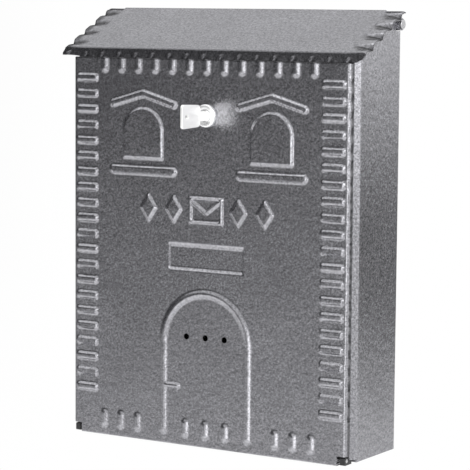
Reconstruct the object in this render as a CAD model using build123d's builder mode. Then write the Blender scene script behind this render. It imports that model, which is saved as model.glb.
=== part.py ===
from build123d import *
import os
from math import atan2, cos, pi, sin

# Wall mounted mailbox in folded and embossed sheet steel.
# Frame: +Z up, +X to the right seen from the front, -Y towards the person who
# opens it.  The wall is the plane y = 0 and the origin is the middle of the
# four wall screws on the outer face of the back panel.

os.makedirs("parts", exist_ok=True)

# ---------------------------------------------------------------- dimensions
SHEET = 0.8            # sheet steel thickness
FRONT = -73.0          # outer face of the flat door sheet, 73 in front of the wall
LOW = -160.0           # lower edge of the door; heights below are given above it

DOOR_W = 250.0
DOOR_H = 299.6
DOOR_FLANGE = 6.0      # depth of the folded rim behind the door face
EMBOSS = 1.5           # how far the pressings stand proud of the door face
NOTCH_W = 7.5          # open lower corners of the door
NOTCH_H = 7.3

CASE_W = 256.0
CASE_SIDE_Y = 11.0     # side panels start this far behind the door face
CASE_BEVEL = 4.0       # 45 degree fold along the front edge of the side panels
CASE_FOOT = 2.0        # the case ends this far above the lower edge of the door
RELIEF = 4.5           # the folded strip stops this far above the case's foot

LID_W = 272.0
LID_Y0, LID_Z0 = 3.0, 308.2      # front fold of the lid
LID_Y1, LID_Z1 = 64.6, 340.2     # rear fold of the lid
LID_FLANGE_Z = 300.8             # lower edge of the front drip flange
CRIMP_PITCH = 16.0
CRIMP_AMP = 1.7                  # flange crimp, half height of the wave
SIDE_AMP = 1.6                   # side crimp, half height of the wave
SIDE_DROP = 0.8                  # how far the crimped edge hangs below the roof
SIDE_ZONE = 18.0                 # width of the crimped strip
SIDE_PEAK = 3.0                  # first crest, measured up the slope

HINGE_Y, HINGE_Z = 68.3, 329.0   # lid hinge axis
ROD_R = 2.5
KNUCKLE_BORE_R = 2.55
KNUCKLE_R = 4.7
KNUCKLE_END = 131.0
KNUCKLE_CUTS = (30.0, 80.0)      # case knuckles lie between these distances from the middle
KNUCKLE_GAP = 0.5

PIVOT_Y, PIVOT_Z = 4.2, 3.8      # door hinge axis
PIN_R = 1.5
EAR_BORE_R = 1.55
EAR_X = 116.7                    # inner face of the door's hinge ears

LOCK_Z = 258.1
LOCK_FACE_R = 8.85
BARREL_R = 7.0
BARREL_END = 15.2                # rear end of the lock barrel
PLUG_R = 5.0
PLUG_BORE_R = 5.05
CAM_Y0, CAM_Y1 = 16.0, 17.8
CAM_REACH = 30.0

RAIL_Y = 14.2                    # front face of the fixed top rail
RAIL_Z0, RAIL_Z1 = 280.0, 299.5

SCREW_X, SCREW_Z = 180.0, 220.0  # wall screw pattern
SCREW_R = 3.0


def y(d):
    """Distance behind the door face to the y coordinate."""
    return FRONT + d


def z(h):
    """Height above the door's lower edge to the z coordinate."""
    return LOW + h


SLOPE = atan2(LID_Z1 - LID_Z0, LID_Y1 - LID_Y0)
SLOPE_LEN = ((LID_Z1 - LID_Z0) ** 2 + (LID_Y1 - LID_Y0) ** 2) ** 0.5


def roof_point(s, n):
    """A point s up the roof slope and n above its outer surface, as (y, z)."""
    return (y(LID_Y0 + s * cos(SLOPE) - n * sin(SLOPE)),
            z(LID_Z0 + s * sin(SLOPE) + n * cos(SLOPE)))


# ---------------------------------------------------------------- case wrap
# One sheet folded into the back, both sides and a 45 degree strip along the
# front edge of each side.  The side tops slope under the lid.
half = CASE_W / 2
bev = CASE_BEVEL
d = SHEET * 0.70711
side_drop_y = 62.6     # side panels step down here to pass under the hinge barrel
low_top = 323.8

with BuildPart() as case_wrap:
    with BuildSketch(Plane.XY.offset(z(CASE_FOOT))):
        with BuildLine():
            Polyline(
                (-(half - bev), y(CASE_SIDE_Y - bev)),
                (-half, y(CASE_SIDE_Y)),
                (-half, 0),
                (half, 0),
                (half, y(CASE_SIDE_Y)),
                (half - bev, y(CASE_SIDE_Y - bev)),
                (half - bev - d, y(CASE_SIDE_Y - bev) + d),
                (half - SHEET, y(CASE_SIDE_Y) + SHEET * 0.41421),
                (half - SHEET, -SHEET),
                (-(half - SHEET), -SHEET),
                (-(half - SHEET), y(CASE_SIDE_Y) + SHEET * 0.41421),
                (-(half - bev - d), y(CASE_SIDE_Y - bev) + d),
                close=True,
            )
        make_face()
    extrude(amount=LID_Z1 - CASE_FOOT)
    # slope of the side tops, and the low back edge under the hinge barrel
    gap = 4.3
    with BuildSketch(Plane.YZ.offset(-half - 5)):
        with BuildLine():
            Polyline(
                (y(0), z(LID_Z0 - gap + (0 - LID_Y0) * (LID_Z1 - LID_Z0) / (LID_Y1 - LID_Y0))),
                (y(side_drop_y), z(LID_Z0 - gap + (side_drop_y - LID_Y0) * (LID_Z1 - LID_Z0) / (LID_Y1 - LID_Y0))),
                (y(side_drop_y), z(low_top)),
                (5, z(low_top)),
                (5, z(400)),
                (y(0), z(400)),
                close=True,
            )
        make_face()
    extrude(amount=CASE_W + 10, mode=Mode.SUBTRACT)
    # relief at the foot of each folded strip
    with BuildSketch(Plane.XY.offset(z(CASE_FOOT - 1))):
        with Locations((-half, y(CASE_SIDE_Y - 3)), (half, y(CASE_SIDE_Y - 3))):
            Rectangle(14, 6.6)
    extrude(amount=RELIEF + 1, mode=Mode.SUBTRACT)
    # hinge knuckles rolled from the top edge of the back panel
    knuckle_len = KNUCKLE_CUTS[1] - KNUCKLE_CUTS[0] - 2 * KNUCKLE_GAP
    for sgn in (-1, 1):
        x0 = sgn * (KNUCKLE_CUTS[0] + KNUCKLE_CUTS[1]) / 2 - knuckle_len / 2
        with BuildSketch(Plane.YZ.offset(x0)):
            with Locations((y(HINGE_Y), z(HINGE_Z))):
                Circle(KNUCKLE_R)
            with Locations((-SHEET / 2, z((HINGE_Z + low_top) / 2 - 0.5))):
                Rectangle(SHEET, HINGE_Z - low_top + 1)
            with Locations((y(HINGE_Y), z(HINGE_Z))):
                Circle(ROD_R, mode=Mode.SUBTRACT)
        extrude(amount=knuckle_len)
    # four wall screw holes
    with Locations(Plane.XZ):
        with GridLocations(SCREW_X, SCREW_Z, 2, 2):
            Hole(SCREW_R, depth=5)
case_wrap.part.label = "case_wrap"

# ---------------------------------------------------------------- floor pan
# Tray that closes the bottom, spot welded inside the wrap.
FLOOR_Y = 11.5
LIP = 8.5
with BuildPart() as floor_pan:
    w = half - SHEET
    with BuildSketch(Plane.XY.offset(z(CASE_FOOT))):
        with Locations(((0, (y(FLOOR_Y) - SHEET) / 2))):
            Rectangle(2 * w, -SHEET - y(FLOOR_Y))
    extrude(amount=LIP)
    with BuildSketch(Plane.XY.offset(z(CASE_FOOT) + SHEET)):
        with Locations(((0, (y(FLOOR_Y) - SHEET) / 2))):
            Rectangle(2 * (w - SHEET), -SHEET - y(FLOOR_Y) - 2 * SHEET)
    extrude(amount=LIP, mode=Mode.SUBTRACT)
    # rivet holes for the hinge blocks in the front lip
    with BuildSketch(Plane.XZ.offset(-y(FLOOR_Y - 2))):
        with Locations((-121.7, z(4.9)), (121.7, z(4.9))):
            Circle(0.9)
    extrude(amount=-4, mode=Mode.SUBTRACT)
    # drain holes
    with BuildSketch(Plane.XY.offset(z(0))):
        with Locations((-90, -30), (90, -30)):
            Circle(2.5)
    extrude(amount=5, mode=Mode.SUBTRACT)
floor_pan.part.label = "floor_pan"

# ---------------------------------------------------------------- top rail
# Fixed crossbar behind the top of the door: the lock's strike and the front
# edge of the mail mouth.
with BuildPart() as top_rail:
    w = half - SHEET
    with BuildSketch(Plane.XY.offset(z(RAIL_Z0))):
        with BuildLine():
            Polyline(
                (-w, y(RAIL_Y)), (w, y(RAIL_Y)), (w, y(RAIL_Y + 20)),
                (w - SHEET, y(RAIL_Y + 20)), (w - SHEET, y(RAIL_Y) + SHEET),
                (-(w - SHEET), y(RAIL_Y) + SHEET), (-(w - SHEET), y(RAIL_Y + 20)),
                (-w, y(RAIL_Y + 20)),
                close=True,
            )
        make_face()
    extrude(amount=RAIL_Z1 - RAIL_Z0)
    with BuildSketch(Plane.XY.offset(z(RAIL_Z1) - SHEET)):
        with Locations((0, y(RAIL_Y) + 4)):
            Rectangle(2 * w - 12, 8)
    extrude(amount=SHEET)
top_rail.part.label = "top_rail"

# ---------------------------------------------------------------- lid
# Sloping roof sheet with a crimped drip flange, crimped side edges and three
# knuckles rolled from its rear flange.
def side_wave(s):
    e = min(1.0, s / 4.0)
    return e * (SIDE_AMP * cos(2 * pi * (s - SIDE_PEAK) / 16.4) - SIDE_DROP)


def flange_wave(x):
    return CRIMP_AMP * cos(2 * pi * x / CRIMP_PITCH)


lid_half = LID_W / 2
zone = lid_half - SIDE_ZONE
n_side = 36
n_front = 17 * 6

# the crimped strips run from flat section lines to waved ones, so each is a
# ruled solid between two many-sided wires
side_strips = []
for sgn in (-1, 1):
    stations = [SLOPE_LEN * k / n_side for k in range(n_side + 1)]
    flat_pts = [roof_point(s, 0) for s in stations]
    flat_pts += [roof_point(s, -SHEET) for s in reversed(stations)]
    wave_pts = [roof_point(s, side_wave(s)) for s in stations]
    wave_pts += [roof_point(s, side_wave(s) - SHEET) for s in reversed(stations)]
    inner = Wire.make_polygon([Vector(sgn * zone, py, pz) for py, pz in flat_pts], close=True)
    outer = Wire.make_polygon([Vector(sgn * lid_half, py, pz) for py, pz in wave_pts], close=True)
    side_strips.append(Solid.make_loft([inner, outer], ruled=True))

xs = [-lid_half + LID_W * k / n_front for k in range(n_front + 1)]
top_pts = [Vector(px, y(LID_Y0), z(LID_Z0)) for px in xs]
top_pts += [Vector(px, y(LID_Y0) + SHEET, z(LID_Z0)) for px in reversed(xs)]
low_pts = [Vector(px, y(LID_Y0) - flange_wave(px), z(LID_FLANGE_Z)) for px in xs]
low_pts += [Vector(px, y(LID_Y0) + SHEET - flange_wave(px), z(LID_FLANGE_Z)) for px in reversed(xs)]
drip_flange = Solid.make_loft([Wire.make_polygon(top_pts, close=True),
                               Wire.make_polygon(low_pts, close=True)], ruled=True)

with BuildPart() as lid:
    # flat middle of the roof with its rear flange
    with BuildSketch(Plane.YZ.offset(-zone)):
        with BuildLine():
            a = roof_point(0, 0)
            b = roof_point(SLOPE_LEN, 0)
            c = roof_point(SLOPE_LEN - 1.2, -SHEET)
            e = roof_point(0.3, -SHEET)
            Polyline(a, b, (b[0], z(334.4)), (b[0] - SHEET, z(334.4)),
                     (b[0] - SHEET, c[1]), e, (a[0] + SHEET, z(LID_Z0 - 1.0)), (a[0], z(LID_Z0 - 1.0)),
                     close=True)
        make_face()
    extrude(amount=2 * zone)
    # crimped strips on both sides and the crimped drip flange in front
    for strip in side_strips:
        add(strip)
    add(drip_flange)
    # slanting trim at the right end of the drip flange
    with BuildSketch(Plane.XZ.offset(-y(12))):
        with BuildLine():
            Polyline((128.2, z(LID_FLANGE_Z)), (138.0, z(LID_FLANGE_Z + 5.0)), (138.0, z(LID_FLANGE_Z - 3)),
                     (128.2, z(LID_FLANGE_Z - 3)), close=True)
        make_face()
    extrude(amount=24, mode=Mode.SUBTRACT)
    # knuckles: two at the ends, one in the middle
    spans = [(-KNUCKLE_END, -KNUCKLE_CUTS[1]), (-KNUCKLE_CUTS[0], KNUCKLE_CUTS[0]),
             (KNUCKLE_CUTS[1], KNUCKLE_END)]
    for x0, x1 in spans:
        with BuildSketch(Plane.YZ.offset(x0)):
            with Locations((y(HINGE_Y), z(HINGE_Z))):
                Circle(KNUCKLE_R)
            with Locations((y(HINGE_Y), z(HINGE_Z))):
                Circle(KNUCKLE_BORE_R, mode=Mode.SUBTRACT)
        extrude(amount=x1 - x0)
        u0, u1 = max(x0, -zone), min(x1, zone)
        with BuildSketch(Plane.XY.offset(z(HINGE_Z))):
            with Locations(((u0 + u1) / 2, y(LID_Y1) - SHEET / 2)):
                Rectangle(u1 - u0, SHEET)
        extrude(amount=334.6 - HINGE_Z)
lid.part.label = "lid"

# ---------------------------------------------------------------- lid hinge rod
with BuildPart() as lid_hinge_rod:
    with BuildSketch(Plane.YZ.offset(-KNUCKLE_END - 0.3)):
        with Locations((y(HINGE_Y), z(HINGE_Z))):
            Circle(ROD_R)
    extrude(amount=2 * (KNUCKLE_END + 0.3))
    for sgn in (-1, 1):
        with BuildSketch(Plane.YZ.offset(sgn * (KNUCKLE_END + 0.3))):
            with Locations((y(HINGE_Y), z(HINGE_Z))):
                Circle(3.6)
        extrude(amount=sgn * 1.3)
    fillet(lid_hinge_rod.edges().filter_by(GeomType.CIRCLE).sort_by(Axis.X)[-1], radius=0.8)
    fillet(lid_hinge_rod.edges().filter_by(GeomType.CIRCLE).sort_by(Axis.X)[0], radius=0.8)
lid_hinge_rod.part.label = "lid_hinge_rod"

# ---------------------------------------------------------------- door
# Shallow pan with pressed decoration: ribs round the rim, two arched windows
# with a gable and a sill, a row of plain raised motifs, a sunk name plate and
# a small arched doorway with three view holes.
RIB_PITCH = 12.36
with BuildPart() as door:
    hw = DOOR_W / 2
    # rim and face as one pan
    with BuildSketch(Plane.XZ.offset(-y(DOOR_FLANGE))):
        with Locations((0, z(DOOR_H / 2))):
            Rectangle(DOOR_W, DOOR_H)
    extrude(amount=DOOR_FLANGE)
    with BuildSketch(Plane.XZ.offset(-y(DOOR_FLANGE))):
        with Locations((0, z(DOOR_H / 2))):
            Rectangle(DOOR_W - 2 * SHEET, DOOR_H - 2 * SHEET)
    extrude(amount=DOOR_FLANGE - SHEET, mode=Mode.SUBTRACT)
    # raised ribs along both sides
    with BuildSketch(Plane.XZ.offset(-y(0))):
        for k in range(21):
            for sgn in (-1, 1):
                with Locations((sgn * (hw - 13.3), z(284.8 - RIB_PITCH * k))):
                    RectangleRounded(20.4, 6.4, 2.2)
        # ribs along the top
        for k in range(-6, 7):
            with Locations((15.8 * k, z(294.0))):
                SlotOverall(10.5, 7.0, rotation=90)
        # ribs along the bottom, in three groups
        for px in (-94.9, -79.1, -63.2, -18.2, 0, 18.2, 63.2, 79.1, 94.9):
            with Locations((px, z(13.5))):
                SlotOverall(15.0, 6.6, rotation=90)
    extrude(amount=EMBOSS)
    # windows, sills and gables
    with BuildSketch(Plane.XZ.offset(-y(0))):
        for cx in (-58.4, 58.4):
            with BuildLine():
                Polyline((cx - 19.0, z(244.0)), (cx - 19.0, z(222.0)),
                         (cx + 19.0, z(222.0)), (cx + 19.0, z(244.0)))
                ThreePointArc((cx + 19.0, z(244.0)), (cx, z(263.0)), (cx - 19.0, z(244.0)))
            make_face()
            with Locations((cx, z(212.7))):
                RectangleRounded(62.0, 9.0, 2.0)
            with BuildLine():
                Polyline((cx - 31, z(261.5)), (cx, z(270.0)), (cx + 31, z(261.5)),
                         (cx + 31, z(267.5)), (cx, z(277.2)), (cx - 31, z(267.5)), close=True)
            make_face()
    extrude(amount=EMBOSS)
    # plain raised motifs where a word would stand
    with BuildSketch(Plane.XZ.offset(-y(0))):
        for cx in (-52.0, -30.0, 30.0, 52.0):
            with BuildLine():
                Polyline((cx - 7.5, z(185)), (cx, z(173.5)), (cx + 7.5, z(185)), (cx, z(196.5)), close=True)
            make_face()
        with Locations((0, z(185))):
            RectangleRounded(32, 22, 2)
        with Locations((0, z(185))):
            RectangleRounded(26, 16, 1, mode=Mode.SUBTRACT)
    extrude(amount=EMBOSS)
    # arched doorway bead with its handle
    with BuildSketch(Plane.XZ.offset(-y(0))):
        with BuildLine():
            Polyline((-41.5, z(86.0)), (-41.5, z(7.5)), (41.5, z(7.5)), (41.5, z(86.0)))
            ThreePointArc((41.5, z(86.0)), (0, z(123.6)), (-41.5, z(86.0)))
        make_face()
        with BuildLine():
            Polyline((-35.0, z(86.0)), (-35.0, z(6.0)), (35.0, z(6.0)), (35.0, z(86.0)))
            ThreePointArc((35.0, z(86.0)), (0, z(117.2)), (-35.0, z(86.0)))
        make_face(mode=Mode.SUBTRACT)
        with Locations((-30.5, z(46.5))):
            SlotOverall(15, 5)
    extrude(amount=EMBOSS)
    # sunk name plate
    with BuildSketch(Plane.XZ.offset(-y(0))):
        with Locations((0, z(148.1))):
            Rectangle(67.0, 20.0)
    extrude(amount=-0.5, mode=Mode.SUBTRACT)
    # view holes and lock hole
    with BuildSketch(Plane.XZ.offset(-y(-3))):
        with Locations((-17.3, z(86.1)), (0, z(86.1)), (17.3, z(86.1))):
            Circle(2.4)
        with Locations((0, z(LOCK_Z))):
            Circle(BARREL_R + 0.1)
    extrude(amount=-6, mode=Mode.SUBTRACT)
    # open lower corners
    with BuildSketch(Plane.XZ.offset(-y(-3))):
        with Locations((-(hw - NOTCH_W / 2 + 0.5), z(NOTCH_H / 2 - 0.5)), (hw - NOTCH_W / 2 + 0.5, z(NOTCH_H / 2 - 0.5))):
            Rectangle(NOTCH_W + 1, NOTCH_H + 1)
    extrude(amount=-20, mode=Mode.SUBTRACT)
    # hinge ears folded back beside the open corners
    for x0 in (-EAR_X - SHEET, EAR_X):
        with BuildSketch(Plane.YZ.offset(x0)):
            with Locations((y(3.9), z(3.8))):
                RectangleRounded(7.8, 7.6, 1.0)
            with Locations((y(1.2), z(4.3))):
                Rectangle(2.4, 8.6)
            with Locations((y(PIVOT_Y), z(PIVOT_Z))):
                Circle(EAR_BORE_R, mode=Mode.SUBTRACT)
        extrude(amount=SHEET)
door.part.label = "door"

# ---------------------------------------------------------------- hinge blocks and pins
BLOCK_X0, BLOCK_X1 = 119.6, 123.9
blocks = {}
for name, sgn in (("hinge_block_left", -1), ("hinge_block_right", 1)):
    with BuildPart() as block:
        with BuildSketch(Plane.YZ.offset(sgn * BLOCK_X0)):
            with Locations((y((0.9 + FLOOR_Y) / 2), z(3.4))):
                Rectangle(FLOOR_Y - 0.9, 5.8)
            with Locations((y(PIVOT_Y), z(PIVOT_Z))):
                Circle(PIN_R, mode=Mode.SUBTRACT)
        extrude(amount=sgn * (BLOCK_X1 - BLOCK_X0))
        fillet(block.edges().filter_by(Axis.X).sort_by(Axis.Y)[0:2], radius=1.0)
        with BuildSketch(Plane.XZ.offset(-y(FLOOR_Y))):
            with Locations((sgn * 121.7, z(4.9))):
                Circle(0.9)
        extrude(amount=4.0, mode=Mode.SUBTRACT)
    block.part.label = name
    blocks[name] = block.part

pins = {}
for name, sgn in (("hinge_pin_left", -1), ("hinge_pin_right", 1)):
    with BuildPart() as pin:
        with BuildSketch(Plane.YZ.offset(sgn * 114.2)):
            with Locations((y(PIVOT_Y), z(PIVOT_Z))):
                Circle(PIN_R)
        extrude(amount=sgn * (BLOCK_X1 - 114.2))
        chamfer(pin.edges().filter_by(GeomType.CIRCLE).sort_by(Axis.X)[0 if sgn > 0 else -1], length=0.4)
    pin.part.label = name
    pins[name] = pin.part

# small rivets that hold the hinge blocks to the floor lip
with BuildPart() as hinge_block_rivets:
    for sgn in (-1, 1):
        with BuildSketch(Plane.XZ.offset(-y(FLOOR_Y - 3.8))):
            with Locations((sgn * 121.7, z(4.9))):
                Circle(0.9)
        extrude(amount=-(3.8 + SHEET))
        with BuildSketch(Plane.XZ.offset(-y(FLOOR_Y + SHEET))):
            with Locations((sgn * 121.7, z(4.9))):
                Circle(1.8)
        extrude(amount=-0.8)
hinge_block_rivets.part.label = "hinge_block_rivets"

# ---------------------------------------------------------------- cam lock
lock_plane_z = z(LOCK_Z)
with BuildPart() as lock_housing:
    with BuildSketch(Plane.XZ.offset(-y(0))):
        with Locations((0, lock_plane_z)):
            Circle(LOCK_FACE_R)
    extrude(amount=3.0)
    fillet(lock_housing.edges().filter_by(GeomType.CIRCLE).sort_by(Axis.Y)[0], radius=0.9)
    with BuildSketch(Plane.XZ.offset(-y(BARREL_END))):
        with Locations((0, lock_plane_z)):
            Circle(BARREL_R)
    extrude(amount=BARREL_END)
    with BuildSketch(Plane.XZ.offset(-y(-4))):
        with Locations((0, lock_plane_z)):
            Circle(PLUG_BORE_R)
    extrude(amount=-(BARREL_END + 6), mode=Mode.SUBTRACT)
lock_housing.part.label = "lock_housing"

with BuildPart() as lock_washer:
    with BuildSketch(Plane.XZ.offset(-y(SHEET))):
        with Locations((0, lock_plane_z)):
            Circle(10.5)
            Circle(BARREL_R + 0.1, mode=Mode.SUBTRACT)
    extrude(amount=-0.8)
lock_washer.part.label = "lock_washer"

with BuildPart() as lock_nut:
    with BuildSketch(Plane.XZ.offset(-y(SHEET + 0.8))):
        with Locations((0, lock_plane_z)):
            RegularPolygon(10.4, 6)
            Circle(BARREL_R, mode=Mode.SUBTRACT)
    extrude(amount=-3.5)
lock_nut.part.label = "lock_nut"

WAFER_Y = (1.0, 4.0, 7.0, 10.0)
with BuildPart() as lock_plug:
    with BuildSketch(Plane.XZ.offset(-y(15.6))):
        with Locations((0, lock_plane_z)):
            Circle(PLUG_R)
    extrude(amount=18.8)
    # square tail for the cam
    with BuildSketch(Plane.XZ.offset(-y(CAM_Y1))):
        with Locations((0, lock_plane_z)):
            Rectangle(6.4, 6.4)
    extrude(amount=CAM_Y1 - 15.6)
    # keyway
    with BuildSketch(Plane.XZ.offset(-y(-4))):
        with Locations((0, lock_plane_z)):
            Rectangle(2.2, 7.9)
    extrude(amount=-(4 + 13.4), mode=Mode.SUBTRACT)
    # slots for the wafers
    for wy in WAFER_Y:
        with BuildSketch(Plane.XZ.offset(-y(wy))):
            with Locations((0, lock_plane_z)):
                Rectangle(5.0, 12.0)
        extrude(amount=-1.0, mode=Mode.SUBTRACT)
    # screw bore in the tail
    with BuildSketch(Plane.XZ.offset(-y(CAM_Y1 + 1))):
        with Locations((0, lock_plane_z)):
            Circle(1.5)
    extrude(amount=4.8, mode=Mode.SUBTRACT)
lock_plug.part.label = "lock_plug"

with BuildPart() as lock_wafers:
    for wy in WAFER_Y:
        with BuildSketch(Plane.XZ.offset(-y(wy + 0.05))):
            with Locations((0, lock_plane_z)):
                Rectangle(4.8, 8.6)
                Rectangle(2.2, 7.7, mode=Mode.SUBTRACT)
        extrude(amount=-0.9)
lock_wafers.part.label = "lock_wafers"

with BuildPart() as lock_cam:
    with BuildSketch(Plane.XZ.offset(-y(CAM_Y0))):
        with Locations((0, lock_plane_z)):
            Circle(7.0)
        with Locations((-(CAM_REACH - 6.0) / 2, lock_plane_z)):
            Rectangle(CAM_REACH - 6.0, 12.0)
        with Locations((-(CAM_REACH - 6.0), lock_plane_z)):
            Circle(6.0)
        with Locations((0, lock_plane_z)):
            Rectangle(6.4, 6.4, mode=Mode.SUBTRACT)
    extrude(amount=-(CAM_Y1 - CAM_Y0))
lock_cam.part.label = "lock_cam"

with BuildPart() as cam_washer:
    with BuildSketch(Plane.XZ.offset(-y(CAM_Y1))):
        with Locations((0, lock_plane_z)):
            Circle(5.2)
            Circle(1.7, mode=Mode.SUBTRACT)
    extrude(amount=-0.6)
cam_washer.part.label = "cam_washer"

with BuildPart() as cam_screw:
    with BuildSketch(Plane.XZ.offset(-y(CAM_Y1 + 0.6))):
        with Locations((0, lock_plane_z)):
            Circle(3.0)
    extrude(amount=-2.0)
    fillet(cam_screw.edges().filter_by(GeomType.CIRCLE).sort_by(Axis.Y)[-1], radius=0.6)
    with BuildSketch(Plane.XZ.offset(-y(CAM_Y1 + 0.6))):
        with Locations((0, lock_plane_z)):
            Circle(1.5)
    extrude(amount=4.2)
    with BuildSketch(Plane.XZ.offset(-y(CAM_Y1 + 2.6))):
        with Locations((0, lock_plane_z)):
            Rectangle(4.6, 0.9)
            Rectangle(0.9, 4.6)
    extrude(amount=0.9, mode=Mode.SUBTRACT)
cam_screw.part.label = "cam_screw"

# ---------------------------------------------------------------- key
# Flat key in the upright plane: rectangular bow with a ring hole, narrow shank.
with BuildPart() as key:
    with BuildSketch(Plane.YZ.offset(-1.0)):
        with Locations((y(-22.7), z(LOCK_Z + 0.4))):
            RectangleRounded(24.6, 18.4, 2.5)
        with Locations((y((-12.0 + 12.8) / 2), z(LOCK_Z))):
            Rectangle(24.8, 7.2)
        with Locations((y(-28.6), z(LOCK_Z + 0.4))):
            Circle(1.9, mode=Mode.SUBTRACT)
    extrude(amount=2.0)
key.part.label = "key"

# ---------------------------------------------------------------- export
for item in (case_wrap, floor_pan, top_rail, lid, lid_hinge_rod, door, hinge_block_rivets,
             lock_housing, lock_washer, lock_nut, lock_plug, lock_wafers, lock_cam,
             cam_washer, cam_screw, key):
    export_step(item.part, f"parts/{item.part.label}.step")
for name, solid in {**blocks, **pins}.items():
    export_step(solid, f"parts/{name}.step")
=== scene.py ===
import math

import bmesh
import bpy
import numpy as np
from mathutils import Matrix, Vector


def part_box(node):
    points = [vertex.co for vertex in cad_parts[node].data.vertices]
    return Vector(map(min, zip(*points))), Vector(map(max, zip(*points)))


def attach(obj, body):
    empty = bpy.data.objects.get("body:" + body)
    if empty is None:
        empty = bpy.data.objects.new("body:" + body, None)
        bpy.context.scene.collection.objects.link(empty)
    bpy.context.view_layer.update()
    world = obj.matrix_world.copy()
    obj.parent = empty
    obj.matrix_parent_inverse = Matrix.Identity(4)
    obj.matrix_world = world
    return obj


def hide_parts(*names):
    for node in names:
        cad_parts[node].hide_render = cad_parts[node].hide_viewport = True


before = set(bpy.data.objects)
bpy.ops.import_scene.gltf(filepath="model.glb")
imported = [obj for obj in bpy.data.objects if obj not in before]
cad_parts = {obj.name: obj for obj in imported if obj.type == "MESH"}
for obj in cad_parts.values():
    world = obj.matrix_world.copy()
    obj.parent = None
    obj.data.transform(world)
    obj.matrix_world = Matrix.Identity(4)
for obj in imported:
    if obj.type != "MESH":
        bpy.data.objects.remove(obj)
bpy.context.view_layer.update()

# Lengths below are in millimetres.  d runs back from the face of the door, h up
# from its lower edge; both start from the imported door's own box.
SHEET = 0.8
EMBOSS = 1.5
door_lo, door_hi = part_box("door")
lid_lo, lid_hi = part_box("lid")
case_lo, case_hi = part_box("case_wrap")
FRONT = door_lo.y * 1000 + EMBOSS
LOW = door_lo.z * 1000
DOOR_W = (door_hi.x - door_lo.x) * 1000
DOOR_H = 300.9
CASE_HALF = case_hi.x * 1000
LID_HALF = lid_hi.x * 1000
WALL_D = -FRONT                     # the wall plane, as a distance behind the door face
HINGE_D, HINGE_H = 68.3, 329.0
LOCK_H = 258.1

scene = bpy.context.scene


# ---------------------------------------------------------------- mesh helpers
def to_frame(p):
    """(x, d, h) in mm to the row frame in metres."""
    p = np.asarray(p, float)
    out = np.empty_like(p)
    out[..., 0] = p[..., 0]
    out[..., 1] = p[..., 1] + FRONT
    out[..., 2] = p[..., 2] + LOW
    return out / 1000.0


def vertex_normals(v, f):
    n = np.zeros_like(v)
    a, b, c, e = v[f[:, 0]], v[f[:, 1]], v[f[:, 2]], v[f[:, 3]]
    fn = np.cross(c - a, e - b)
    for k in range(4):
        np.add.at(n, f[:, k], fn)
    return n / np.maximum(np.linalg.norm(n, axis=1, keepdims=True), 1e-12)


def compress(v, f, *extra):
    used = np.unique(f)
    index = np.full(len(v), -1)
    index[used] = np.arange(len(used))
    return (v[used], index[f]) + tuple(x[used] for x in extra)


def grid_quads(nu, nv, keep):
    """Quads of an nu by nv grid of points, stored row by row (v major), where keep is true."""
    i, j = np.meshgrid(np.arange(nu - 1), np.arange(nv - 1))
    sel = keep[j, i]
    i, j = i[sel], j[sel]
    a = j * nu + i
    return np.stack([a, a + 1, a + 1 + nu, a + nu], axis=1)


def thicken(v, f, t, normals=None):
    """Closed sheet: v is the outer surface, the inner one lies t behind it."""
    n = vertex_normals(v, f) if normals is None else normals
    m = len(v)
    inner = v - n * t
    edges = {}
    for q in f.tolist():
        for k in range(4):
            a, b = q[k], q[(k + 1) % 4]
            key = (a, b) if a < b else (b, a)
            if key in edges:
                edges[key] = None
            else:
                edges[key] = (a, b)
    rim = [(b, a, a + m, b + m) for e in edges.values() if e is not None for a, b in (e,)]
    faces = np.concatenate([f, f[:, ::-1] + m, np.array(rim, int)])
    return np.concatenate([v, inner]), faces


def make_object(name, v, f, materials, body, replaces=(), angle=38.0, wear_and_sheen=None, painted_shade=None):
    me = bpy.data.meshes.new(name)
    me.from_pydata(to_frame(v).tolist(), [], [list(map(int, q)) for q in f])
    me.validate()
    me.polygons.foreach_set("use_smooth", [True] * len(me.polygons))
    me.set_sharp_from_angle(angle=math.radians(angle))
    # two paint masks: lighter edges (wear plus painted highlight) and painted shade in creases and gaps
    for label, values in (("wear_and_sheen", wear_and_sheen), ("painted_shade", painted_shade)):
        if values is not None:
            att = me.attributes.new(label, "FLOAT", "POINT")
            att.data.foreach_set("value", np.asarray(values, np.float32))
    ob = bpy.data.objects.new(name, me)
    scene.collection.objects.link(ob)
    for m in materials:
        me.materials.append(m)
    finish_piece(ob, body, replaces)
    return ob


def finish_piece(ob, body, replaces=()):
    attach(ob, body)
    if replaces:
        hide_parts(*replaces)


def smooth01(t):
    t = np.clip(t, 0.0, 1.0)
    return t * t * (3 - 2 * t)


def spaced(points, step):
    """Sorted coordinates through the given (position, step after it) breaks."""
    out = [points[0][0]]
    for (a, s), (b, _) in zip(points[:-1], points[1:]):
        n = max(1, int(round((b - a) / (s or step))))
        out += [a + (b - a) * k / n for k in range(1, n + 1)]
    return np.array(out)


def snap_hole(v2, f, cx, cy, r):
    """Opens a round hole of radius r in a dense quad sheet; v2 holds the in-plane coordinates."""
    rel = v2 - np.array([cx, cy])
    dist = np.linalg.norm(rel, axis=1)
    centre = rel[f].mean(axis=1)
    inside = np.linalg.norm(centre, axis=1) < r
    near = (dist[f] < r + 6).all(axis=1)
    drop = inside & near
    ring = np.intersect1d(np.unique(f[drop]), np.unique(f[~drop]))
    v2[ring] = np.array([cx, cy]) + rel[ring] / dist[ring][:, None] * r
    return f[~drop]


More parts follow.
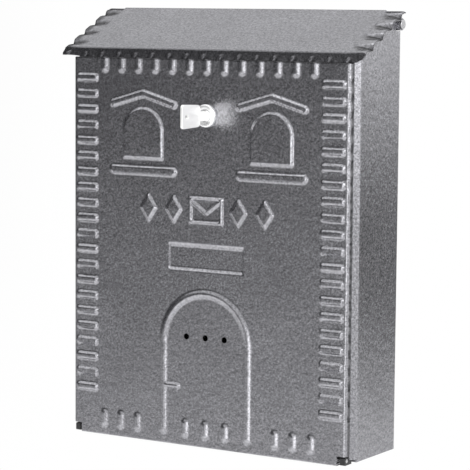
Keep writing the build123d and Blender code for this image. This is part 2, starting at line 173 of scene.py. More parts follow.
def rounded_path(pts, radius, step):
    """Points and left-hand normals along a polyline with rounded corners.  radius is one
    number or one per inner corner; step is one number or one per straight run."""
    pts = [np.array(p, float) for p in pts]
    n = len(pts)
    radius = [radius] * (n - 2) if np.isscalar(radius) else list(radius)
    step = [step] * (n - 1) if np.isscalar(step) else list(step)
    cuts, arcs = [0.0], []
    for k in range(1, n - 1):
        a = pts[k] - pts[k - 1]; b = pts[k + 1] - pts[k]
        a /= np.linalg.norm(a); b /= np.linalg.norm(b)
        turn = math.atan2(a[0] * b[1] - a[1] * b[0], a @ b)
        r = radius[k - 1]
        cuts.append(r * abs(math.tan(turn / 2)))
        arcs.append((a, b, turn, r))
    cuts.append(0.0)
    out_p, out_n = [], []

    def add(p, nn):
        if not out_p or np.linalg.norm(out_p[-1] - p) > 1e-6:
            out_p.append(p); out_n.append(nn)

    for k in range(n - 1):
        dirn = pts[k + 1] - pts[k]
        length = np.linalg.norm(dirn); dirn /= length
        nn = np.array([-dirn[1], dirn[0]])
        a = pts[k] + dirn * cuts[k]
        b = pts[k + 1] - dirn * cuts[k + 1]
        m = max(1, int(round(np.linalg.norm(b - a) / step[k])))
        for i in range(m + 1):
            add(a + (b - a) * i / m, nn)
        if k < n - 2:
            _, _, turn, r = arcs[k]
            c = b + nn * r * (1 if turn > 0 else -1)
            seg = max(2, int(round(abs(turn) / 0.26)))
            for i in range(1, seg):
                ang = turn * i / seg
                rot = np.array([[math.cos(ang), -math.sin(ang)], [math.sin(ang), math.cos(ang)]])
                out = rot @ (b - c)
                add(c + out, rot @ nn)
    return np.array(out_p), np.array(out_n)


# ---------------------------------------------------------------- materials
def new_material(name):
    m = bpy.data.materials.new(name)
    m.use_nodes = True
    nt = m.node_tree
    b = nt.nodes["Principled BSDF"]
    return m, nt, b


def node(nt, kind, **values):
    x = nt.nodes.new(kind)
    for k, val in values.items():
        if k in x.inputs:
            x.inputs[k].default_value = val
        else:
            setattr(x, k, val)
    return x


def noise(nt, coord, scale, detail=2.0, rough=0.5, stretch=None):
    x = node(nt, "ShaderNodeTexNoise")
    x.inputs["Scale"].default_value = scale
    x.inputs["Detail"].default_value = detail
    x.inputs["Roughness"].default_value = rough
    if stretch is not None:
        mp = node(nt, "ShaderNodeMapping")
        mp.inputs["Scale"].default_value = stretch
        nt.links.new(coord, mp.inputs["Vector"])
        coord = mp.outputs["Vector"]
    nt.links.new(coord, x.inputs["Vector"])
    return x.outputs["Fac"]


def ramp(nt, fac, stops):
    r = node(nt, "ShaderNodeValToRGB")
    el = r.color_ramp.elements
    while len(el) < len(stops):
        el.new(0.5)
    for e, (p, c) in zip(el, stops):
        e.position = p
        e.color = (c, c, c, 1) if np.isscalar(c) else (*c, 1)
    nt.links.new(fac, r.inputs["Fac"])
    return r.outputs["Color"]


def maths(nt, op, a, b):
    m = node(nt, "ShaderNodeMath", operation=op)
    for k, val in enumerate((a, b)):
        if isinstance(val, (int, float)):
            m.inputs[k].default_value = val
        else:
            nt.links.new(val, m.inputs[k])
    return m.outputs["Value"]


def mix_color(nt, fac, a, b, blend="MIX"):
    m = node(nt, "ShaderNodeMix", data_type="RGBA", blend_type=blend)
    for sock, val in (("Factor", fac),):
        if isinstance(val, (int, float)):
            m.inputs[0].default_value = val
        else:
            nt.links.new(val, m.inputs[0])
    for idx, val in ((6, a), (7, b)):
        if isinstance(val, tuple):
            m.inputs[idx].default_value = (*val, 1)
        else:
            nt.links.new(val, m.inputs[idx])
    return m.outputs[2]


def bump(nt, b, height, strength, distance, prev=None):
    x = node(nt, "ShaderNodeBump")
    x.inputs["Strength"].default_value = strength
    x.inputs["Distance"].default_value = distance
    nt.links.new(height, x.inputs["Height"])
    if prev is not None:
        nt.links.new(prev, x.inputs["Normal"])
    nt.links.new(x.outputs["Normal"], b.inputs["Normal"])
    return x.outputs["Normal"]


def hammered_paint(name, tone, seed, metallic=0.92, rough=0.22):
    """Hammered silver-grey powder coat: fine pebbling, flake speckle, edges lightened as rubbed wear and painted
    highlight, painted shade in creases and gaps.
    """
    m, nt, b = new_material(name)
    tc = node(nt, "ShaderNodeTexCoord")
    mp = node(nt, "ShaderNodeMapping")
    mp.inputs["Location"].default_value = (seed * 0.37, seed * 0.11, seed * 0.23)
    nt.links.new(tc.outputs["Object"], mp.inputs["Vector"])
    co = mp.outputs["Vector"]
    dark = tuple(c * 0.60 for c in tone)
    light = tuple(min(1.0, c * 1.52) for c in tone)
    pebble = noise(nt, co, 600.0, 3.0, 0.66)
    flake = noise(nt, co, 1500.0, 1.0, 0.5)
    cloud = noise(nt, co, 22.0, 3.0, 0.55)
    base = mix_color(nt, ramp(nt, pebble, [(0.30, 0.0), (0.70, 1.0)]), dark, light)
    base = mix_color(nt, maths(nt, "MULTIPLY", ramp(nt, flake, [(0.60, 0.0), (0.72, 1.0)]), 0.35), base,
                     tuple(min(1.0, c * 2.1) for c in tone))
    base = mix_color(nt, maths(nt, "MULTIPLY", ramp(nt, cloud, [(0.35, 0.0), (0.68, 1.0)]), 0.22), base, dark)
    # edges and shoulders lighter: partly rubbed paint, partly painted highlight
    at = node(nt, "ShaderNodeAttribute", attribute_name="wear_and_sheen")
    rub_and_sheen = maths(nt, "MULTIPLY", at.outputs["Fac"], ramp(nt, noise(nt, co, 260.0, 3.0, 0.6), [(0.40, 0.25), (0.66, 1.0)]))
    base = mix_color(nt, maths(nt, "MULTIPLY", rub_and_sheen, 0.55), base, tuple(min(1.0, c * 1.9 + 0.03) for c in tone))
    # painted shade in creases, seams and the gaps between parts, broken up by noise
    painted_shade_fac = node(nt, "ShaderNodeAttribute", attribute_name="painted_shade").outputs["Fac"]
    painted_shade_fac = maths(nt, "MULTIPLY", painted_shade_fac, ramp(nt, noise(nt, co, 340.0, 3.0, 0.6), [(0.25, 0.72), (0.55, 1.0)]))
    base = mix_color(nt, painted_shade_fac, base, tuple(c * 0.05 for c in tone))
    nt.links.new(base, b.inputs["Base Color"])
    b.inputs["Metallic"].default_value = metallic
    r = maths(nt, "MULTIPLY_ADD", pebble, 0.16)
    nt.nodes[-1].inputs[2].default_value = rough - 0.08
    nt.links.new(r, b.inputs["Roughness"])
    n1 = bump(nt, b, pebble, 0.32, 0.00022)
    bump(nt, b, noise(nt, co, 190.0, 2.0, 0.5), 0.25, 0.0005, n1)
    return m


def metal(name, tone, rough, brushed=None, spots=0.15, metallic=1.0):
    """Plated or bare metal with faint streaks, spots and uneven gloss."""
    m, nt, b = new_material(name)
    tc = node(nt, "ShaderNodeTexCoord")
    co = tc.outputs["Object"]
    dark = tuple(c * 0.78 for c in tone)
    cloud = noise(nt, co, 90.0, 4.0, 0.6)
    base = mix_color(nt, maths(nt, "MULTIPLY", ramp(nt, cloud, [(0.40, 0.0), (0.75, 1.0)]), spots * 2), tone, dark)
    nt.links.new(base, b.inputs["Base Color"])
    b.inputs["Metallic"].default_value = metallic
    r = maths(nt, "MULTIPLY_ADD", cloud, 0.14)
    nt.nodes[-1].inputs[2].default_value = max(0.02, rough - 0.05)
    nt.links.new(r, b.inputs["Roughness"])
    if brushed is not None:
        fine = noise(nt, co, 900.0, 2.0, 0.6, stretch=brushed)
        bump(nt, b, fine, 0.25, 0.00008)
    else:
        bump(nt, b, noise(nt, co, 700.0, 2.0, 0.5), 0.08, 0.00006)
    return m


def plastic(name, tone, rough):
    m, nt, b = new_material(name)
    tc = node(nt, "ShaderNodeTexCoord")
    co = tc.outputs["Object"]
    grain = noise(nt, co, 1400.0, 2.0, 0.5)
    cloud = noise(nt, co, 120.0, 3.0, 0.6)
    base = mix_color(nt, ramp(nt, cloud, [(0.35, 0.0), (0.75, 1.0)]), tone, tuple(c * 1.8 + 0.01 for c in tone))
    nt.links.new(base, b.inputs["Base Color"])
    r = maths(nt, "MULTIPLY_ADD", grain, 0.2)
    nt.nodes[-1].inputs[2].default_value = rough - 0.1
    nt.links.new(r, b.inputs["Roughness"])
    bump(nt, b, grain, 0.3, 0.00012)
    return m


GREY = (0.288, 0.287, 0.305)
door_paint = hammered_paint("door_paint", GREY, 1)
lid_paint = hammered_paint("lid_paint", GREY, 2)
body_paint = hammered_paint("body_paint", GREY, 3)
chrome = metal("lock_chrome", (0.93, 0.935, 0.94), 0.24, spots=0.04, metallic=0.7)
key_metal = metal("key_nickel", (0.95, 0.95, 0.94), 0.34, brushed=(1.0, 0.12, 1.0), spots=0.04, metallic=0.55)
zinc = metal("lock_zinc", (0.55, 0.56, 0.55), 0.34, brushed=(1.0, 1.0, 0.1), spots=0.3)
rod_steel = metal("rod_steel", (0.50, 0.50, 0.51), 0.30, brushed=(0.08, 1.0, 1.0), spots=0.3)
pin_steel = metal("pin_steel", (0.60, 0.60, 0.60), 0.22, brushed=(0.1, 1.0, 1.0), spots=0.2)
brass = metal("wafer_brass", (0.72, 0.52, 0.24), 0.3, brushed=(1.0, 1.0, 0.1), spots=0.2)
black = plastic("black_plastic", (0.012, 0.012, 0.013), 0.45)


# ---------------------------------------------------------------- door
def box_sd(x, z, cx, cz, hx, hz, r):
    """Depth inside a rounded rectangle, positive inside."""
    qx = np.abs(x - cx) - (hx - r)
    qz = np.abs(z - cz) - (hz - r)
    return r - (np.hypot(np.maximum(qx, 0), np.maximum(qz, 0)) + np.minimum(np.maximum(qx, qz), 0))


def line_sd(x, z, a, b, r):
    ax, az = a; bx, bz = b
    t = ((x - ax) * (bx - ax) + (z - az) * (bz - az)) / ((bx - ax) ** 2 + (bz - az) ** 2)
    t = np.clip(t, 0, 1)
    return r - np.hypot(x - ax - t * (bx - ax), z - az - t * (bz - az))


def pressings(x, z):
    """Height of the door's pressings above its face, in mm, and a mask of their shoulders, lightened as wear and as
    painted highlight.
    """
    hgt = np.zeros_like(x)
    slope = np.zeros_like(x)

    def up(sd, width=1.9, height=EMBOSS, form="soft"):
        nonlocal hgt, slope
        t = np.clip(sd / width, 0, 1)
        lift = t * t * (3 - 2 * t)
        if form == "round":
            lift = 0.5 * lift + 0.5 * np.sin(math.pi / 2 * t)
        hgt = np.maximum(hgt, height * lift)
        slope = np.maximum(slope, np.where((t > 0.45) & (t < 1), 1 - np.abs(t - 0.8) / 0.35, 0))

    half = DOOR_W / 2
    for k in range(21):
        for s in (-1, 1):
            up(box_sd(x, z, s * (half - 13.3), 284.8 - 12.36 * k, 10.4, 3.4, 2.4), 1.7)
    for k in range(-6, 7):
        up(box_sd(x, z, 15.8 * k, 299.0, 3.8, 10.4, 3.7), 3.7, 1.3, "round")
    for px in (-94.9, -79.1, -63.2, -18.2, 0.0, 18.2, 63.2, 79.1, 94.9):
        up(box_sd(x, z, px, 13.5, 3.6, 7.7, 3.5), 3.5, 1.25, "round")
    for cx in (-58.4, 58.4):
        arch = np.where(z > 244.0, 19.2 - np.hypot(x - cx, z - 244.0), 19.2 - np.abs(x - cx))
        up(np.minimum(arch, z - 221.9), 2.0)
        up(box_sd(x, z, cx, 213.65, 31.6, 3.9, 3.8), 1.7)
        up(np.maximum(line_sd(x, z, (cx - 28.6, 265.4), (cx, 273.6), 3.2),
                      line_sd(x, z, (cx, 273.6), (cx + 28.6, 265.4), 3.2)), 1.6)
    # arched doorway bead and its handle
    zc = 81.95
    path = np.where(z > zc, np.abs(np.hypot(x, z - zc) - 38.4), np.abs(np.abs(x) - 38.4))
    below = np.hypot(np.abs(np.abs(x) - 38.4), np.minimum(z - 10.4, 0))
    bead = 3.6 - np.where(z < 10.4, below, path)
    up(bead, 3.4, 1.2, "round")
    up(box_sd(x, z, -30.5, 46.5, 7.6, 2.7, 2.6), 1.8)
    # plain motifs: lozenges and an envelope with its flap
    for cx in (-53.0, -29.5, 29.5, 53.0):
        dx, dz = np.abs(x - cx), np.abs(z - 185.0)
        up((1 - dx / 8.2 - dz / 12.0) * 6.75, 1.9)
    frame_sd = np.minimum(box_sd(x, z, 0, 185, 16.2, 11.2, 2.2), -box_sd(x, z, 0, 185, 12.2, 7.4, 0.8))
    up(frame_sd, 1.6)
    flap = np.maximum(line_sd(x, z, (-14.5, 193.5), (0, 183.0), 1.7), line_sd(x, z, (0, 183.0), (14.5, 193.5), 1.7))
    up(flap, 1.5)
    # sunk name plate, its upper wall wider than the others
    top_edge = (158.9 - z) / 2.9
    low_edge = (z - 137.3) / 2.7
    ends = np.where(x < 0, (34.3 + x) / 0.9, (34.3 - x) / 2.0)
    t = np.clip(np.minimum(np.minimum(top_edge, low_edge), ends), 0, 1)
    bent = np.where(t < 0.12, t * t / 0.24, np.where(t > 0.88, 1 - 0.12 - (1 - t) ** 2 / 0.24, t - 0.06))
    hgt = hgt - 1.75 * bent
    # the plate's walls lightened too: painted highlight
    slope = np.maximum(slope, np.where((t > 0.02) & (t < 0.5), 0.7, 0))
    return hgt, slope


def build_door():
    rx, rz = 2.3, 0.55                    # bends along the sides and along the top and bottom
    half, tall = DOOR_W / 2, DOOR_H / 2
    fx, fz = half - rx, tall - rz
    quarter = math.pi / 2

    def beyond(r):
        return np.array([r * quarter * k / 6 for k in range(1, 7)] + [r * quarter + (6.0 - r) * k / 4 for k in range(1, 5)])

    xs = spaced([(-fx, 0), (-117.5, 0), (-21.6, 0.6), (21.6, 0), (117.5, 0), (fx, 0)], 0.85)
    zs = spaced([(-fz, 0), (7.3 - tall, 0), (82.3 - tall, 0.6), (89.9 - tall, 0), (fz, 0)], 0.85)
    sx = np.concatenate([-fx - beyond(rx)[::-1], xs, fx + beyond(rx)])
    sz = np.concatenate([-fz - beyond(rz)[::-1], zs, fz + beyond(rz)])
    nu, nv = len(sx), len(sz)
    X, Z = np.meshgrid(sx, sz)
    u = np.maximum(np.abs(X) - fx, 0) / rx
    v = np.maximum(np.abs(Z) - fz, 0) / rz
    rho = np.hypot(u, v)
    theta = np.minimum(rho, quarter)
    cu = np.where(rho > 0, u / np.maximum(rho, 1e-9), 0)
    cv = np.where(rho > 0, v / np.maximum(rho, 1e-9), 0)
    r = rx * cu ** 2 + rz * cv ** 2
    extra = np.maximum(rho - quarter, 0) * r
    # each rib pulls the folded edge in a little
    pull = 0.16 * np.cos(2 * math.pi * (Z + tall - 284.8) / 12.36) * np.clip(u, 0, 1) * (np.abs(Z + tall - 161.2) < 129) * (X > 0)
    px = np.sign(X) * (np.minimum(np.abs(X), fx) + rx * np.sin(theta) * cu - pull)
    ph = tall + np.sign(Z) * (np.minimum(np.abs(Z), fz) + rz * np.sin(theta) * cv)
    pd = r * (1 - np.cos(theta)) + extra
    nx = np.sign(X) * np.sin(theta) * cu
    nh = np.sign(Z) * np.sin(theta) * cv
    nd = -np.cos(theta)
    e, wear_and_sheen = pressings(X, Z + tall)
    e = e * np.clip(np.cos(theta), 0, 1) ** 1.5 * (extra < 1e-6)
    # the sheet is never quite flat
    flatness = np.clip(1 - rho, 0, 1)
    e = e + flatness * 0.10 * (np.sin(X * 0.031 + 0.7) * np.sin(Z * 0.027 + 1.1) + 0.5 * np.sin(X * 0.071) * np.sin(Z * 0.055 + 0.4))
    P = np.stack([px + nx * e, pd + nd * e, ph + nh * e], axis=-1).reshape(-1, 3)
    uc = (np.abs(sx[:-1] + sx[1:]) / 2)
    vc = (sz[:-1] + sz[1:]) / 2
    U, V = np.meshgrid(uc, vc)
    keep = ~((U > fx) & (np.abs(V) > fz) & ((U > fx + rx * quarter) | (np.abs(V) > fz + rz * quarter)))
    keep &= ~((U > 117.5) & (V < 7.3 - tall))
    f = grid_quads(nu, nv, keep)
    P, f, wear_and_sheen = compress(P, f, wear_and_sheen.reshape(-1))
    face = P[:, [0, 2]].copy()
    front = P[:, 1] < 3
    for cx, cz, rad in ((-17.3, 86.1, 2.4), (0, 86.1, 2.4), (17.3, 86.1, 2.4), (0, LOCK_H, 7.1)):
        f = snap_hole(face, f, cx, cz, rad)
    P[front, 0] = face[front, 0]
    P[front, 2] = face[front, 1]
    P, f, wear_and_sheen = compress(P, f, wear_and_sheen)
    # lighter door side bends: rubbed edge and painted highlight
    edge = np.maximum(wear_and_sheen, np.clip(1 - np.abs(np.abs(P[:, 0]) - half) / 0.9, 0, 1) * (P[:, 1] < 1.4))
    V3, F3 = thicken(P, f, SHEET)
    # painted shadow under the lid flange along the top edge, and on the returns in the gaps beside the case
    gap_shade = np.maximum(0.9 * smooth01((P[:, 2] - DOOR_H + 0.9) / 0.6), 0.6 * smooth01((P[:, 1] - 2.0) / 0.9))
    return make_object("door_panel", V3, F3, [door_paint], "door", ["door"],
                       wear_and_sheen=np.concatenate([edge, np.zeros(len(P))]), painted_shade=np.concatenate([gap_shade, np.zeros(len(P))]))


def outline_object(name, loops, half_depth, bevel, place, materials, body, replaces=()):
    """A flat plate from closed outlines (the first is the rim, the others are holes), with rounded edges.
    place maps (a, b, c) in mm, c along the thickness, to (x, d, h)."""
    cu = bpy.data.curves.new(name + "_outline", "CURVE")
    cu.dimensions = "2D"
    cu.fill_mode = "BOTH"
    for loop in loops:
        sp = cu.splines.new("POLY")
        sp.points.add(len(loop) - 1)
        for pt, (a, b) in zip(sp.points, loop):
            pt.co = (a, b, 0, 1)
        sp.use_cyclic_u = True
    cu.extrude = half_depth - bevel
    cu.bevel_depth = bevel
    cu.bevel_resolution = 2
    cu.offset = -bevel
    ob = bpy.data.objects.new(name + "_tmp", cu)
    scene.collection.objects.link(ob)
    dg = bpy.context.evaluated_depsgraph_get()
    me = bpy.data.meshes.new_from_object(ob.evaluated_get(dg))
    bpy.data.objects.remove(ob)
    bm = bmesh.new()
    bm.from_mesh(me)
    bmesh.ops.remove_doubles(bm, verts=bm.verts, dist=0.002)
    for v in bm.verts:
        v.co = Vector(to_frame(np.array(place(*v.co), float)))
    bmesh.ops.recalc_face_normals(bm, faces=bm.faces)
    me.clear_geometry()
    bm.to_mesh(me)
    bm.free()
    me.name = name
    me.polygons.foreach_set("use_smooth", [True] * len(me.polygons))
    me.set_sharp_from_angle(angle=math.radians(35))
    out = bpy.data.objects.new(name, me)
    scene.collection.objects.link(out)
    me.materials.clear()
    for m in materials:
        me.materials.append(m)
    finish_piece(out, body, replaces)
    return out


def rounded_rect(cx, cy, w, h, r, seg=6):
    pts = []
    for sx, sy, a0 in ((1, 1, 0), (-1, 1, 90), (-1, -1, 180), (1, -1, 270)):
        for k in range(seg + 1):
            a = math.radians(a0 + 90 * k / seg)
            pts.append((cx + sx * (w / 2 - r) + r * math.cos(a), cy + sy * (h / 2 - r) + r * math.sin(a)))
    return pts


def circle(cx, cy, r, n=40):
    return [(cx + r * math.cos(2 * math.pi * k / n), cy + r * math.sin(2 * math.pi * k / n)) for k in range(n)]


door = build_door()
for side, x0 in (("left", -117.1), ("right", 117.1)):
    ear = rounded_rect(4.1, 3.8, 7.4, 7.5, 1.4)
    outline_object(f"door_ear_{side}", [ear, circle(4.2, 3.8, 1.55, 28)], SHEET / 2, 0.12,
                   lambda a, b, c, x0=x0: (x0 + c, a, b), [door_paint], "door")


# ---------------------------------------------------------------- lid
LD0, LH0, LD1, LH1 = 3.0, 308.2, 64.6, 340.2
SLOPE = math.atan2(LH1 - LH0, LD1 - LD0)
SLOPE_LEN = math.hypot(LH1 - LH0, LD1 - LD0)


def spiral(start_deg, full_deg, r_a, r_b, turn_deg, total_deg, step=15.0, direction=1):
    """Points and outward directions of a rolled sheet end about the hinge axis."""
    pts, nrm = [], []
    k = 0
    while k * step <= total_deg + 1e-6:
        a = k * step
        r = r_a + (r_b - r_a) * float(smooth01((a - full_deg) / turn_deg))
        ang = math.radians(start_deg + direction * a)
        o = np.array([math.cos(ang), math.sin(ang)])
        pts.append(np.array([HINGE_D, HINGE_H]) + o * r)
        nrm.append(o)
        k += 1
    return np.array(pts), np.array(nrm)


def build_lid():
    prof, nrm = rounded_path([(LD0, 301.15), (LD0, LH0), (LD1, LH1), (LD1, 334.4)], [1.1, 1.0], [0.7, 0.75, 1.0])
    # rolled_path gives left-hand normals; walking up the flange the outside is on the left
    n_prof = len(prof)
    roll, roll_n = spiral(180, 270, 3.9, 2.78, 95, 470, 15.0, 1)
    drop = np.array([[64.55, 332.6], [64.45, 330.8]])
    prof = np.concatenate([prof, drop, roll])
    nrm = np.concatenate([nrm, np.array([[1.0, 0.0], [1.0, 0.0]]), -roll_n])
    cuts = [-LID_HALF, -131, -120.4, -119.6, -118, -80, -30, 30, 80, 118, 119.6, 120.4, 131, LID_HALF]
    xs = spaced([(c, 0.4 if abs(c + 120.0) < 0.5 or abs(c - 119.8) < 0.5 else 0) for c in cuts], 1.0)
    nu, nv = len(xs), len(prof)
    X = np.tile(xs, (nv, 1))
    D = np.tile(prof[:, 0][:, None], (1, nu))
    H = np.tile(prof[:, 1][:, None], (1, nu))
    ND = np.tile(nrm[:, 0][:, None], (1, nu))
    NH = np.tile(nrm[:, 1][:, None], (1, nu))
    # how far up the slope each row is
    s = (D - LD0) * math.cos(SLOPE) + (H - LH0) * math.sin(SLOPE)
    on_roof = np.zeros(nv, bool)
    on_roof[:n_prof] = True
    on_roof = on_roof[:, None]
    flange = (H < LH0 - 0.2) & (D < LD0 + 1.5) & on_roof
    # crimped drip flange: the wave grows from the bend to the lower edge
    down = np.clip((LH0 - 0.6 - H) / (LH0 - 0.6 - 301.15), 0, 1) * flange
    wave = np.cos(2 * math.pi * X / 15.8)
    nick = X - 9.5 - 15.8 * np.round((X - 9.5 - 0.8 * (H - 302.0)) / 15.8) - 0.8 * (H - 302.0)
    D = D - 0.75 * down - 0.22 * wave * down ** 2 - 0.5 * np.exp(-(nick / 1.15) ** 2) * smooth01((down - 0.3) / 0.35)
    # left end flares out, right end is trimmed on a slant
    X = X - np.clip((-X - 126.0) / 10.0, 0, 1) ** 1.5 * 2.2 * smooth01(down * 1.2)
    rise = np.clip((X - 128.2) * 0.51, 0, 4.2) + 0.9 * np.clip((-X - 118.0) / 10.0, 0, 1)
    H = H + rise * down
    # crimped sides
    across = np.clip((np.abs(X) - (LID_HALF - 18.0)) / 18.0, 0, 1)
    blend = across ** 1.35
    sc = np.clip(s, 0, SLOPE_LEN)
    e = np.clip(sc / 4.0, 0, 1)
    # each crimp: a level back, a soft fall towards the rear, then a steep step up
    p = np.mod((sc - 10.2) / 16.4, 1.0)
    level = np.where(p < 0.27, smooth01(p / 0.27), 1 - smooth01((p - 0.52) / 0.48))
    side = e * 2.8 * (level - 1) + 0.45 - 0.75 * smooth01((sc - 61.0) / 7.0)
    side = side - 0.9 * np.clip((np.abs(X) - LID_HALF + 2.2) / 2.2, 0, 1) ** 2
    roof_rows = on_roof & ~flange & (s > -0.5)
    lift = side * blend * roof_rows
    # behind the hinge flange's ends the crimped strips hang a little lower
    slit = np.clip((np.abs(X) - 119.6) / 0.8, 0, 1) * smooth01((sc - 62.0) / 6.0) * roof_rows
    lift = lift - 0.9 * slit * (1 - 0.4 * blend)
    D = D - math.sin(SLOPE) * lift
    H = H + math.cos(SLOPE) * lift
    # gentle unevenness of the roof sheet
    calm = roof_rows * np.clip(sc / 8, 0, 1) * np.clip((SLOPE_LEN - sc) / 8, 0, 1)
    H = H + calm * 0.12 * np.sin(X * 0.045 + 0.6) * np.sin(sc * 0.11 + 0.3)
    P = np.stack([X, D, H], axis=-1).reshape(-1, 3)
    xc = np.abs(xs[:-1] + xs[1:]) / 2
    keep = np.zeros((nv - 1, nu - 1), bool)
    for j in range(nv - 1):
        if j < n_prof - 1:
            row = np.ones(nu - 1, bool)
            mid = (prof[j] + prof[j + 1]) / 2
            if mid[0] > LD1 - 0.35 and mid[1] < LH1 - 0.3:      # hinge flange only in the middle
                row = xc < 119.6
        else:
            row = (xc < 30) | ((xc > 80) & (xc < 131))
            if j < n_prof + 1:
                row &= xc < 118
        keep[j] = row
    f = grid_quads(nu, nv, keep)
    # outward side first
    f = f[:, ::-1]
    down_flat, across_flat = down.reshape(-1), (across * roof_rows).reshape(-1)
    # lighter crimp crests and lowest flange edge: rubbed wear and painted highlight
    crest = np.clip(level, 0, 1).reshape(-1) * across_flat
    lowest = np.clip((down_flat - 0.75) * 4, 0, 1)
    wear_and_sheen = np.maximum(0.25 * crest ** 2, 0.25 * lowest)
    # painted shade: the fold of every crimp, the cut edges at the sides (heavier on the left) and the drip flange
    fold_shade = np.exp(-((np.mod(p + 0.42, 1.0) - 0.40) / 0.17) ** 2) * np.clip((across - 0.10) / 0.35, 0, 1) * roof_rows * (s > 3) * (s < 64)
    # painted shade on the side edges, darker over a wider band on the left than on the right
    rim = 0.82 * smooth01((-X - LID_HALF + 8.5) / 4.5) * level ** 0.5 * roof_rows + 0.8 * smooth01((X - LID_HALF + 1.1) / 0.8) * roof_rows
    # painted shade over the drip flange and the front bend, lifted on the slanted nicks
    front = (0.50 * flange + 0.55 * (on_roof & (s < 0.7) & ~flange)) * (1 - 0.8 * np.exp(-(nick / 1.3) ** 2) * smooth01((down - 0.3) / 0.35))
    painted_shade = np.clip(np.maximum(np.maximum(0.97 * fold_shade, rim), front), 0, 1).reshape(-1)
    P, f, wear_and_sheen, painted_shade = compress(P, f, wear_and_sheen, painted_shade)
    n = vertex_normals(P, f)
    centre = P[np.argmin(np.abs(P[:, 0]) + np.abs(P[:, 1] - 30))]
    k = np.argmin(np.linalg.norm(P - centre, axis=1))
    if n[k, 2] < 0:
        f = f[:, ::-1]
    V3, F3 = thicken(P, f, SHEET)
    return make_object("lid_roof", V3, F3, [lid_paint], "lid", ["lid"],
                       wear_and_sheen=np.concatenate([wear_and_sheen, wear_and_sheen * 0]), painted_shade=np.concatenate([painted_shade, painted_shade * 0]))


lid = build_lid()


